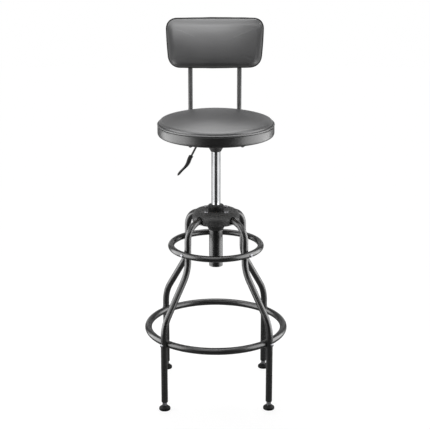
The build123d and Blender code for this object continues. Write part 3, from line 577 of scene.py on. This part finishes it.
def row_of_beads():
    """Beads in a row along the path, each lying along it: stitches and staples."""
    sizes = [("Count", "NodeSocketInt")]
    sizes += [(label, "NodeSocketFloat") for label in ("Length", "Width", "Height")]
    tree, wire, given = path_tree("row_of_beads", sizes)
    places = wire.node(
        "GeometryNodeCurveToPoints", {"mode": "COUNT"}, {"Curve": given["Path"], "Count": given["Count"]}
    )
    bead = wire.node("GeometryNodeMeshUVSphere", None, {"Segments": 8, "Rings": 5, "Radius": 0.5})
    turn = wire.node(
        "FunctionNodeAlignRotationToVector", {"axis": "X"}, {"Vector": places.also("Tangent")}
    )
    size = wire.node(
        "ShaderNodeCombineXYZ", None, {0: given["Length"], 1: given["Width"], 2: given["Height"]}
    )
    row = wire.node(
        "GeometryNodeInstanceOnPoints",
        None,
        {"Points": places, "Instance": bead, "Rotation": turn, "Scale": size},
    )
    finish_tree(wire, row, given["Finish"])
    return tree


def corded_edge():
    """Round cord swept along the path: piping and welt."""
    tree, wire, given = path_tree("corded_edge", [("Radius", "NodeSocketFloat")])
    ring = wire.node(
        "GeometryNodeCurvePrimitiveCircle", None, {"Resolution": 14, "Radius": given["Radius"]}
    )
    cord = wire.node("GeometryNodeCurveToMesh", None, {"Curve": given["Path"], "Profile Curve": ring})
    finish_tree(wire, cord, given["Finish"])
    return tree


ROW_OF_BEADS = row_of_beads()
CORDED_EDGE = corded_edge()


def along_path(name, tree, path, inputs):
    """Mesh that a tree makes along a closed path."""
    curve = bpy.data.curves.new(name, "CURVE")
    curve.dimensions = "3D"
    line = curve.splines.new("POLY")
    line.points.add(len(path) - 1)
    for point, place in zip(line.points, path):
        point.co = (*place, 1.0)
    line.use_cyclic_u = True
    work = bpy.data.objects.new("work_" + name, curve)
    bpy.context.scene.collection.objects.link(work)
    follow = work.modifiers.new("follow", "NODES")
    follow.node_group = tree
    for item in tree.interface.items_tree:
        if item.name in inputs and item.in_out == "INPUT":
            follow[item.identifier] = inputs[item.name]
    mesh = settled_mesh(work)
    form = bmesh.new()
    form.from_mesh(mesh)
    return close_up(form, mesh)


# Side band, wrapped under the board, and the piping above it
BAND_SEGMENTS = 288
BAND_SIDE_SHARES = (0.06, 0.2, 0.4, 0.6, 0.8, 1.0)
BAND_BELLY = 0.0004
BAND_ROUND_STEPS = 8
BAND_PULLS = (19, 31, 46, 63, 79)
WRAP_START_R = 0.166
WRAP_WIDTH = 0.026
WRAP_PUCKER = 0.0024
CORD_STEPS = 320
STITCH = {"Count": 320, "Length": 0.0028, "Width": 0.0007, "Height": 0.0008, "Finish": THREAD}
STAPLE = {"Count": 46, "Length": 0.0110, "Width": 0.0012, "Height": 0.0009, "Finish": ZINC}
STAPLE_RING_R = 0.149


def seat_band():
    """Section of the band, from its hem down the side, under the board and back up, swept round."""
    out, low, top = SEAT_R, SEAT_BASE_Z, BAND_TOP_Z
    profile = [(out - 0.0012, top + 0.0004), (out - 0.0003, top - 0.0004)]
    side = [top - (top - low - BAND_ROUND) * share for share in BAND_SIDE_SHARES]
    profile += [(out + BAND_BELLY * sin(pi * (top - z) / (top - low)), z) for z in side]
    for step in range(1, BAND_ROUND_STEPS):
        turn = (pi / 2) * step / BAND_ROUND_STEPS
        profile.append((out - BAND_ROUND * (1 - cos(turn)), low + BAND_ROUND * (1 - sin(turn))))
    profile += [(out - BAND_ROUND, low), (0.158, low), (WRAP_R + 0.001, low), (WRAP_R, low + 0.0006)]
    profile += [(WRAP_R + 0.001, low + BAND_T - 0.0001), (out - BAND_ROUND, low + BAND_T - 0.0001)]
    profile += [(out - BAND_T - 0.0012, low + BAND_ROUND - 0.003), (out - BAND_T - 0.0002, top - 0.004)]
    profile += [(out - BAND_T - 0.0002, top)]

    def sway(angle, radius, height):
        """Only the edge under the board is pulled unevenly."""
        wrapped = max(0.0, (WRAP_START_R - radius) / WRAP_WIDTH) if height < low + 0.003 else 0.0
        return WRAP_PUCKER * wrapped * pucker(angle, SEAM_PHASES, BAND_PULLS), 0.0

    return turned_mesh("side_band", profile, BAND_SEGMENTS, sway)


def seat_piping():
    path = []
    for step in range(CORD_STEPS):
        angle = 2 * pi * step / CORD_STEPS
        reach = PIPING_CENTRE_R + 0.00015 * pucker(angle, (1.0, 3.3, 5.1), (7, 17, 29))
        height = PIPING_Z + 0.00025 * pucker(angle, (2.0, 0.3, 4.1), (5, 11, 41))
        path.append((reach * cos(angle), reach * sin(angle), height))
    return along_path("piping", CORDED_EDGE, path, {"Radius": PIPING_R, "Finish": SEAT_TOP})


def ring_path(radius, height, count):
    turns = [2 * pi * step / count for step in range(count)]
    return [(radius * cos(turn), radius * sin(turn), height) for turn in turns]


keep_piece("side_band", seat_band(), SEAT_BAND, "seat", ("seat_band",))
keep_piece("piping", seat_piping(), SEAT_TOP, "seat", ("seat_piping",))
stitch_line = ring_path(SEAT_R - 0.0003, BAND_TOP_Z - 0.0010, 208)
stitches = along_path("seam_stitches", ROW_OF_BEADS, stitch_line, STITCH)
keep_piece("seam_stitches", stitches, THREAD, "seat")
staple_line = ring_path(STAPLE_RING_R, SEAT_BASE_Z - 0.0002, 184)
staples = along_path("wrap_staples", ROW_OF_BEADS, staple_line, STAPLE)
keep_piece("wrap_staples", staples, ZINC, "seat")


# Backrest pad
BACK_SQUARES = 64
BACK_MIDDLE_Z = (BACK_TOP_Z + BACK_BOTTOM_Z) / 2
BACK_ARCH_Z = BACK_MIDDLE_Z - 0.020
BACK_RING_SHARE = 0.72
BACK_RING_INSET = 0.027
BACK_SEAM_Y = BACK_REAR_Y - BACK_REAR_ROUND - 0.002
BACK_CENTRE = Vector((0.0, BACK_MIDDLE_Z))
BACK_WALL_STEPS = (0.35, 0.7, 1.0)
BACK_HELD = 0.006
BACK_SWELL = 0.0028
BACK_EVENING = 40
CORNER_STEPS = 12
CORNER_PULL = 0.83
NORMAL_REACH = 0.004
WELT_PROUD = 0.0010
WELT_Y = BACK_REAR_Y - 0.0030
WELT_WAVE = 0.0004


def arc_points(start, middle, end, count):
    """Points on the circle through three points, from start to end."""
    a, b, c = Vector(start), Vector(middle), Vector(end)
    aa, bb, cc = a.length_squared, b.length_squared, c.length_squared
    d = 2 * (a.x * (b.y - c.y) + b.x * (c.y - a.y) + c.x * (a.y - b.y))
    centre = Vector((
        (aa * (b.y - c.y) + bb * (c.y - a.y) + cc * (a.y - b.y)) / d,
        (aa * (c.x - b.x) + bb * (a.x - c.x) + cc * (b.x - a.x)) / d,
    ))
    from_angle = atan2(a.y - centre.y, a.x - centre.x)
    sweep = atan2(c.y - centre.y, c.x - centre.x) - from_angle
    sweep = (sweep + pi) % (2 * pi) - pi
    radius = (a - centre).length
    angles = [from_angle + sweep * i / count for i in range(count + 1)]
    return [centre + radius * Vector((cos(angle), sin(angle))) for angle in angles]


def rounded(runs, corners):
    """Closed outline of runs of points. Each run loses a length at its start and its end, and a
    curve pulled towards the corner joins it to the next."""
    trimmed = []
    for points, cut_start, cut_end in runs:
        trimmed.append([
            point for point in points
            if (point - points[0]).length >= cut_start and (point - points[-1]).length >= cut_end
        ])
    closed = []
    for kept, following, corner in zip(trimmed, trimmed[1:] + trimmed[:1], corners):
        closed += kept
        start, end = kept[-1], following[0]
        pull = CORNER_PULL * corner + (1 - CORNER_PULL) * (0.5 * start + 0.5 * end)
        for step in range(1, CORNER_STEPS):
            t = step / CORNER_STEPS
            closed.append((1 - t) ** 2 * start + 2 * t * (1 - t) * pull + t * t * end)
    return closed


def back_outline():
    """Backrest outline from the front as (x, z) points, from the lower left corner along the bottom."""
    top, low = BACK_TOP_Z, BACK_BOTTOM_Z
    wide, narrow = BACK_TOP_HALF, BACK_BOTTOM_HALF
    side = (wide + narrow) / 2 + BACK_BULGE
    corners = [Vector((-narrow, low)), Vector((narrow, low)), Vector((wide, top)), Vector((-wide, top))]
    cuts = [BACK_BOTTOM_CORNER, BACK_BOTTOM_CORNER, BACK_TOP_CORNER, BACK_TOP_CORNER]
    bends = [(0, low - BACK_BULGE), (side, BACK_MIDDLE_Z), (0, top + BACK_BULGE), (-side, BACK_MIDDLE_Z)]
    counts = [120, 80, 120, 80]
    runs = []
    for i, (bend, count) in enumerate(zip(bends, counts)):
        j = (i + 1) % 4
        runs.append((arc_points(corners[i], bend, corners[j], count), cuts[i], cuts[j]))
    return rounded(runs, corners[1:] + corners[:1])


class Outline:
    """Closed outline that gives a point and its outward normal at any share of its length."""

    def __init__(self, points):
        self.points = points
        self.marks = [0.0]
        for a, b in zip(points, points[1:] + points[:1]):
            self.marks.append(self.marks[-1] + (b - a).length)
        self.length = self.marks[-1]

    def at(self, share):
        target = (share % 1.0) * self.length
        low, high = 0, len(self.points)
        while high - low > 1:
            middle = (low + high) // 2
            if self.marks[middle] <= target:
                low = middle
            else:
                high = middle
        a = self.points[low]
        b = self.points[(low + 1) % len(self.points)]
        run = self.marks[low + 1] - self.marks[low]
        return a.lerp(b, (target - self.marks[low]) / run if run else 0.0)

    def normal(self, share):
        along = self.at(share + NORMAL_REACH) - self.at(share - NORMAL_REACH)
        return Vector((along.y, -along.x)).normalized()

    def nearest(self, point):
        """Share of the length at the outline's point nearest to this one."""
        best = min(range(len(self.points)), key=lambda i: (self.points[i] - point).length_squared)
        return self.marks[best] / self.length


outline = Outline(back_outline())
CORNER_SHARES = [
    outline.nearest(Vector((x, z)))
    for x, z in (
        (-BACK_BOTTOM_HALF, BACK_BOTTOM_Z), (BACK_BOTTOM_HALF, BACK_BOTTOM_Z),
        (BACK_TOP_HALF, BACK_TOP_Z), (-BACK_TOP_HALF, BACK_TOP_Z),
    )
]


def side_share(side, along):
    """Share of the outline's length at a share along one side of the square."""
    start = CORNER_SHARES[side]
    span = (CORNER_SHARES[(side + 1) % 4] - start) % 1.0
    return start + span * along


def rim_share(u, v, share):
    """Share along the outline for a point on the square's rim: corners fall on the rounded corners."""
    if v == -share:
        return side_share(0, (u / share + 1) / 2)
    if u == share:
        return side_share(1, (v / share + 1) / 2)
    if v == share:
        return side_share(2, (1 - u / share) / 2)
    return side_share(3, (1 - v / share) / 2)


def back_crown(x, z):
    """Depth of the crowned front, before its edge turns back."""
    return BACK_FRONT_Y + x * x / (2 * BACK_CROWN_R) + (z - BACK_ARCH_Z) ** 2 / (2 * BACK_ARCH_R)


def back_front(u, v):
    share = max(abs(u), abs(v))
    if share == 0:
        return Vector((0.0, back_crown(0.0, BACK_MIDDLE_Z), BACK_MIDDLE_Z))
    along = rim_share(u, v, share)
    edge, normal = outline.at(along), outline.normal(along)
    if share >= BACK_RING_SHARE:
        inset = BACK_RING_INSET * ((1 - share) / (1 - BACK_RING_SHARE)) ** 1.5
        point = edge - normal * inset
    else:
        inset = BACK_RING_INSET
        ring = edge - normal * inset
        point = BACK_CENTRE + (ring - BACK_CENTRE) * (share / BACK_RING_SHARE)
    depth = back_crown(point.x, point.y)
    if inset < BACK_EDGE_ROUND:
        turned = 1 - inset / BACK_EDGE_ROUND
        depth += (BACK_SEAM_Y - depth) * (1 - sqrt(1 - turned**2))
    return Vector((point.x, depth, point.y))


def back_rear(u, v):
    share = max(abs(u), abs(v))
    if share == 0:
        return Vector((0.0, BACK_REAR_Y, BACK_MIDDLE_Z))
    along = rim_share(u, v, share)
    edge = outline.at(along) - outline.normal(along) * BACK_REAR_ROUND
    point = BACK_CENTRE + (edge - BACK_CENTRE) * share
    return Vector((point.x, BACK_REAR_Y, point.y))


def backrest_pad():
    form = bmesh.new()
    rim = sheet_of_squares(form, BACK_SQUARES, back_front)
    shares = [side_share(side, i / BACK_SQUARES) for side in range(4) for i in range(BACK_SQUARES)]
    front = [vertex.co.copy() for vertex in rim]
    straight_end = BACK_REAR_Y - BACK_REAR_ROUND
    for step in BACK_WALL_STEPS:
        row = []
        for point in front:
            row.append(form.verts.new((point.x, point.y + (straight_end - point.y) * step, point.z)))
        bridge(form, rim, row)
        rim = row
    for turn in (pi / 6, pi / 3):
        depth = straight_end + BACK_REAR_ROUND * sin(turn)
        row = []
        for share, point in zip(shares, front):
            inward = outline.normal(share) * (BACK_REAR_ROUND * (1 - cos(turn)))
            row.append(form.verts.new((point.x - inward.x, depth, point.z - inward.y)))
        bridge(form, rim, row)
        rim = row
    under = sheet_of_squares(form, BACK_SQUARES, back_rear)
    bridge(form, rim, under)
    work = working_object(finished_bmesh(form, "backrest_form"))
    free = [freed(straight_end - BACK_HELD - vertex.co.y) for vertex in work.data.vertices]
    mesh = filled(work, free, BACK_SWELL, BACK_EVENING)
    return keep_piece("backrest_cover", mesh, SEAT_TOP, "seat", ("backrest_pad",))


backrest_pad()


def backrest_welt():
    """Dark sewn edge where the cover meets the back panel."""
    path = []
    for step in range(CORD_STEPS):
        share = step / CORD_STEPS
        edge = outline.at(share) + outline.normal(share) * WELT_PROUD
        wave = WELT_WAVE * pucker(2 * pi * step / CORD_STEPS, (0.7, 2.9, 5.0), (5, 9, 16))
        path.append((edge.x, WELT_Y, edge.y + wave))
    return along_path("backrest_welt", CORDED_EDGE, path, {"Radius": WELT_R, "Finish": WELT})


keep_piece("backrest_welt", backrest_welt(), WELT, "seat")


# Camera, floor and light
CAMERA_DISTANCE = 3.78055
CAMERA_HEIGHT = 1.71046
CAMERA_PITCH = 16.66
CAMERA_AZIMUTH = -1.0
CAMERA_PAN = 0.043
CAMERA_LENS = 106.92
FLOOR_R = 6.0
FLOOR_TONE = 0.80
FLOOR_SEEN_DROP = 0.52
FLOOR_GLOW = 0.76
ROOM_LIGHT = 0.42
FRONT_DROP = 0.22
FRONT_GLOSS_DROP = 0.95


def photo_camera():
    lens = bpy.data.cameras.new("photo_camera")
    lens.sensor_fit = "HORIZONTAL"
    lens.sensor_width = 36.0
    lens.lens = CAMERA_LENS
    lens.clip_end = 60.0
    camera = bpy.data.objects.new("photo_camera", lens)
    bpy.context.scene.collection.objects.link(camera)
    turn = radians(CAMERA_AZIMUTH)
    camera.location = (CAMERA_DISTANCE * sin(turn), -CAMERA_DISTANCE * cos(turn), CAMERA_HEIGHT)
    camera.rotation_euler = (radians(90.0 - CAMERA_PITCH), 0.0, radians(CAMERA_AZIMUTH + CAMERA_PAN))
    bpy.context.scene.camera = camera


def bare_tree(owner):
    """Empty node tree of a material or world, as a wire to add nodes with."""
    owner.use_nodes = True
    owner.node_tree.nodes.clear()
    return Wire(owner.node_tree)


def seen_rays(wire):
    """Marks of the rays by which the camera sees: straight, in gloss and through glass."""
    camera = wire.node("ShaderNodeLightPath", out="Is Camera Ray")
    return camera, camera.also("Is Glossy Ray"), camera.also("Is Transmission Ray")


def studio_floor():
    """Pale paper. Where it is seen, a glow whitens it and its own darker shade keeps the shadow."""
    material = bpy.data.materials.new("studio_floor")
    wire = bare_tree(material)
    camera, glossy, glass = seen_rays(wire)
    seen = wire.maths("MINIMUM", camera + glossy + glass, 1.0)
    place = wire.node("ShaderNodeTexCoord", out="Object")
    reach = wire.node("ShaderNodeVectorMath", {"operation": "LENGTH"}, {0: place}, "Value")
    far = reach.step(0.5, 1.5)
    paper = wire.node("ShaderNodeTexNoise", None, {"Vector": place, "Scale": 40.0})
    shade = (FLOOR_TONE - FLOOR_SEEN_DROP * seen) * (1 - far * seen) + paper * 0.01
    colour = wire.node("ShaderNodeCombineColor", None, {0: shade, 1: shade, 2: shade})
    matt = wire.node("ShaderNodeBsdfDiffuse", None, {"Color": colour})
    glow = wire.node("ShaderNodeEmission", None, {"Color": seen * (FLOOR_GLOW + far * (1 - FLOOR_GLOW))})
    both = wire.node("ShaderNodeAddShader", None, {0: matt, 1: glow})
    wire.node("ShaderNodeOutputMaterial", None, {"Surface": both})
    form = bmesh.new()
    bmesh.ops.create_circle(form, cap_ends=True, segments=96, radius=FLOOR_R)
    mesh = bpy.data.meshes.new("studio_floor")
    form.to_mesh(mesh)
    form.free()
    mesh.materials.append(material)
    floor = bpy.data.objects.new("studio_floor", mesh)
    bpy.context.scene.collection.objects.link(floor)


def studio_world():
    """White where the camera looks. The room is lit from the sides, behind and above, and is dark
    at the front."""
    world = bpy.data.worlds.new("studio")
    bpy.context.scene.world = world
    wire = bare_tree(world)
    camera, glossy, glass = seen_rays(wire)
    way = wire.node("ShaderNodeTexCoord", out="Generated")
    front = (0.0 - wire.node("ShaderNodeSeparateXYZ", None, {0: way}, "Y")).step(0.30, 0.80)
    plain = 1 - wire.maths("MINIMUM", camera + glossy + glass, 1.0)
    strength = camera + glass + glossy * (1 - front * FRONT_GLOSS_DROP)
    strength = strength + plain * (ROOM_LIGHT - front * FRONT_DROP)
    white = (1.0, 1.0, 1.0, 1.0)
    back = wire.node("ShaderNodeBackground", None, {"Color": white, "Strength": strength})
    wire.node("ShaderNodeOutputWorld", None, {"Surface": back})


def softbox(name, place, aim, width, height, glow):
    """Large even lamp; glow is how bright it looks."""
    lamp = bpy.data.lights.new(name, "AREA")
    lamp.shape = "RECTANGLE"
    lamp.size = width
    lamp.size_y = height
    lamp.energy = glow * pi * width * height
    box = bpy.data.objects.new(name, lamp)
    bpy.context.scene.collection.objects.link(box)
    box.location = place
    box.rotation_euler = (Vector(aim) - Vector(place)).to_track_quat("-Z", "Y").to_euler()
    box.visible_camera = False


def flag(name, corners, glow, one_sided=False):
    """Card that only gloss shows; a one-sided card is clear from behind."""
    material = bpy.data.materials.new(name)
    wire = bare_tree(material)
    place = wire.node("ShaderNodeTexCoord", out="Object")
    mottle = wire.node("ShaderNodeTexNoise", None, {"Vector": place, "Scale": 3.0})
    card = wire.node("ShaderNodeEmission", None, {"Color": 0.9 + mottle * 0.2, "Strength": glow})
    if one_sided:
        behind = wire.node("ShaderNodeNewGeometry", out="Backfacing")
        clear = wire.node("ShaderNodeBsdfTransparent")
        card = wire.node("ShaderNodeMixShader", None, {0: behind, 1: card, 2: clear})
    wire.node("ShaderNodeOutputMaterial", None, {"Surface": card})
    mesh = bpy.data.meshes.new(name)
    mesh.from_pydata(corners, [], [tuple(range(len(corners)))])
    mesh.materials.append(material)
    board = bpy.data.objects.new(name, mesh)
    bpy.context.scene.collection.objects.link(board)
    board.visible_camera = False
    board.visible_diffuse = False
    board.visible_transmission = False
    board.visible_shadow = False


def lying(height, left, right, near, far):
    """Corners of a flat card."""
    return [(left, near, height), (right, near, height), (right, far, height), (left, far, height)]


def splayed(height, start, start_half, end, end_half):
    """Corners of a flat card that widens from start to end."""
    return [
        (-start_half, start, height), (start_half, start, height),
        (end_half, end, height), (-end_half, end, height),
    ]


def across(depth, left, right, low, high):
    """Corners of an upright card that faces front, or back where left and right are swapped."""
    return [(left, depth, low), (right, depth, low), (right, depth, high), (left, depth, high)]


def beside(side, near, far, low, high):
    """Corners of an upright card at one side."""
    return [(side, near, low), (side, far, low), (side, far, high), (side, near, high)]


def both_sides(name, corners, glow):
    """Card on the left and its mirror image on the right; the gap in the name takes the side."""
    flag(name.format("left"), corners, glow)
    flag(name.format("right"), [(-x, y, z) for x, y, z in corners], glow)


photo_camera()
studio_floor()
studio_world()
softbox("softbox_left", (-1.7, 0.1, 1.8), (0.0, 0.0, 0.7), 1.2, 1.2, 2.4)
softbox("softbox_right", (1.7, 0.1, 1.8), (0.0, 0.0, 0.7), 1.2, 1.2, 2.0)
softbox("softbox_front", (-0.6, -2.6, 2.7), (0.0, 0.15, 1.1), 2.4, 1.6, 3.0)
softbox("softbox_top", (-0.12, 0.95, 2.4), (-0.12, 0.85, 0.9), 1.6, 1.3, 4.6)
flag("floor_flag", lying(0.003, -0.8, 0.8, -0.45, 1.5), 0.30)
floor_card = [(-1.4, -0.7, 0.004), (-0.8, -0.5, 0.004), (-0.8, 0.6, 0.004), (-1.4, 0.9, 0.004)]
both_sides("{}_floor_card", floor_card, 3.5)
flag("front_flag_near", lying(0.002, -0.8, 0.8, -1.1, -0.45), 0.22)
flag("front_flag_low", splayed(0.002, -1.1, 0.8, -4.2, 2.6), 0.04)
flag("front_flag", across(-4.2, -2.6, 2.6, 0.0, 0.9), 0.05)
flag("back_flag_low", splayed(0.002, 0.45, 0.30, 3.4, 3.4), 0.12)
flag("back_flag", across(3.4, -4.5, 4.5, 0.0, 4.0), 0.16)
flag("back_card", across(3.3, -0.3, 0.3, 0.0, 2.1), 0.70)
both_sides("back_card_{}", across(3.3, -1.5, -0.62, 0.0, 2.0), 0.9)
both_sides("{}_card", beside(-1.4, -1.2, 0.9, 0.0, 1.9), 7.0)
pad_flag = [
    (-0.36, -0.15, 0.97), (-0.36, -0.05, 0.97), (-0.36, -0.05, 0.84),
    (-0.36, 0.5, 0.84), (-0.36, 0.5, 1.25), (-0.36, -0.15, 1.25),
]
both_sides("{}_pad_flag", pad_flag, 0.7)
for word, side in (("left", -0.12), ("right", 0.12)):
    flag(word + "_tube_flag", beside(side, -0.02, 0.12, 0.56, 0.82), 0.70)
    flag(word + "_tube_card", beside(side, -0.11, -0.02, 0.58, 0.82), 1.25)
flag("seat_card", lying(1.38, -0.4, 0.4, -0.55, -0.02), 6.5)
flag("seat_front_card", across(0.135, -0.16, 0.03, 1.09, 1.34), 3.8, one_sided=True)
flag("pad_card_low", across(-0.100, 0.15, -0.36, 0.94, 1.09), 0.9, one_sided=True)
flag("pad_card_left", across(-0.095, -0.22, -0.36, 0.94, 1.14), 0.5, one_sided=True)
flag("pad_card_high", across(-0.100, 0.15, -0.36, 1.09, 1.22), 1.8, one_sided=True)
flag("pad_card_bright", across(-0.100, 0.12, -0.30, 1.22, 1.37), 7.0, one_sided=True)
flag("pad_card_right", across(-0.100, 0.36, 0.15, 0.94, 1.37), 0.7, one_sided=True)
flag("pad_card_over", lying(1.38, -0.36, 0.16, -0.02, 0.45), 3.8)
bpy.context.scene.view_settings.view_transform = "Standard"
